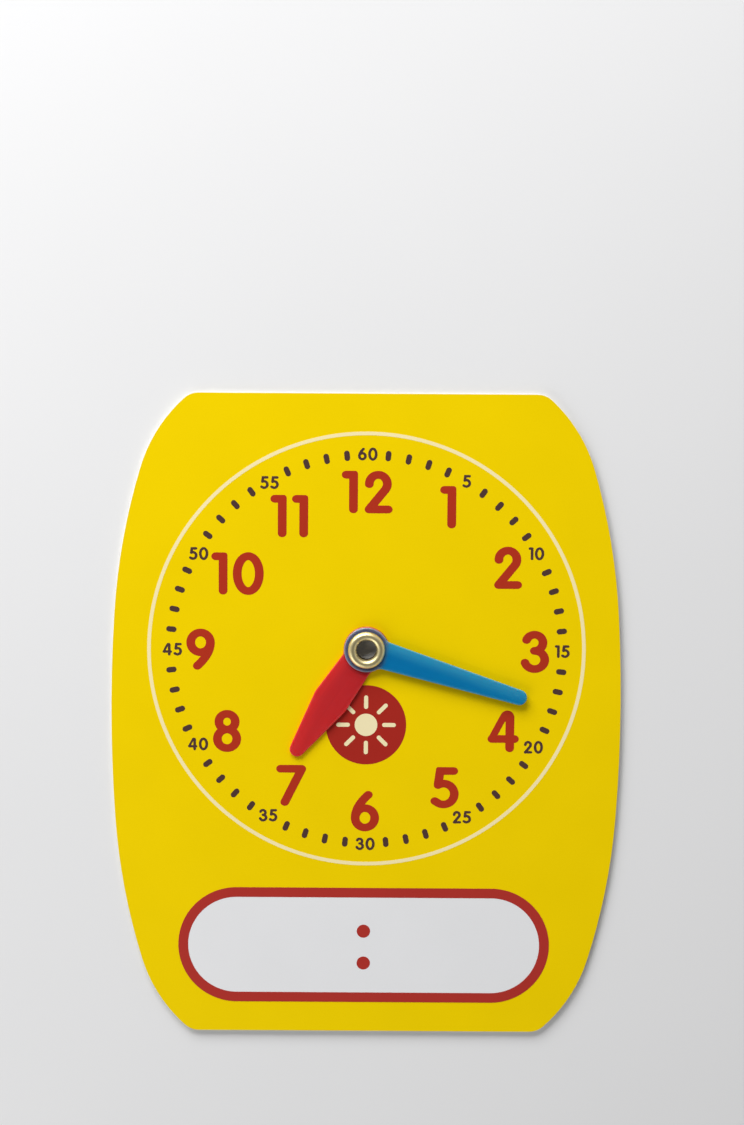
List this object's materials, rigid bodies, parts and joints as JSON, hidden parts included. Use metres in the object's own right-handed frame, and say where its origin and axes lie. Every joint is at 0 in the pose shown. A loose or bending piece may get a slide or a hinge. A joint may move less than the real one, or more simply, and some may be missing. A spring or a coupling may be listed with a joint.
{
  "type": "dry-erase clock dial",
  "caption": "Barrel-sided laminated card clock dial with a wipe-clean face, a red hour hand and a blue minute hand that turn freely on a hollow brass eyelet.",
  "frame": {"origin": "on the pivot axis at the face of the card, inside the eyelet's bore", "axes": "+Z out of the face along the pivot axis, +Y towards twelve, +X towards three; the dial lies face up on its back"},
  "size_m": [0.1484, 0.1883, 0.0047],
  "materials": {
    "clear_film": "gloss",
    "yellow_print": "satin",
    "white_paper": "satin",
    "core_board": "matte",
    "red_plastic": "satin",
    "blue_plastic": "satin",
    "brass": "polished",
    "red_ink": "gloss",
    "dark_ink": "gloss",
    "white_ink": "gloss"
  },
  "bodies": {
    "dial": {"back_film": "clear_film", "back_sheet": "white_paper", "core_card": "core_board", "face_sheet": "yellow_print", "face_film": "clear_film", "eyelet": "brass"},
    "hour_hand": {"hour_hand": "red_plastic"},
    "minute_hand": {"minute_hand": "blue_plastic"}
  },
  "joints": [
    {"name": "hour_hand_turn", "type": "hinge", "parent": "dial", "child": "hour_hand", "pos_m": [0, 0, 0], "axis": [0, 0, -1], "continuous": true},
    {"name": "minute_hand_turn", "type": "hinge", "parent": "dial", "child": "minute_hand", "pos_m": [0, 0, 0], "axis": [0, 0, -1], "continuous": true}
  ]
}
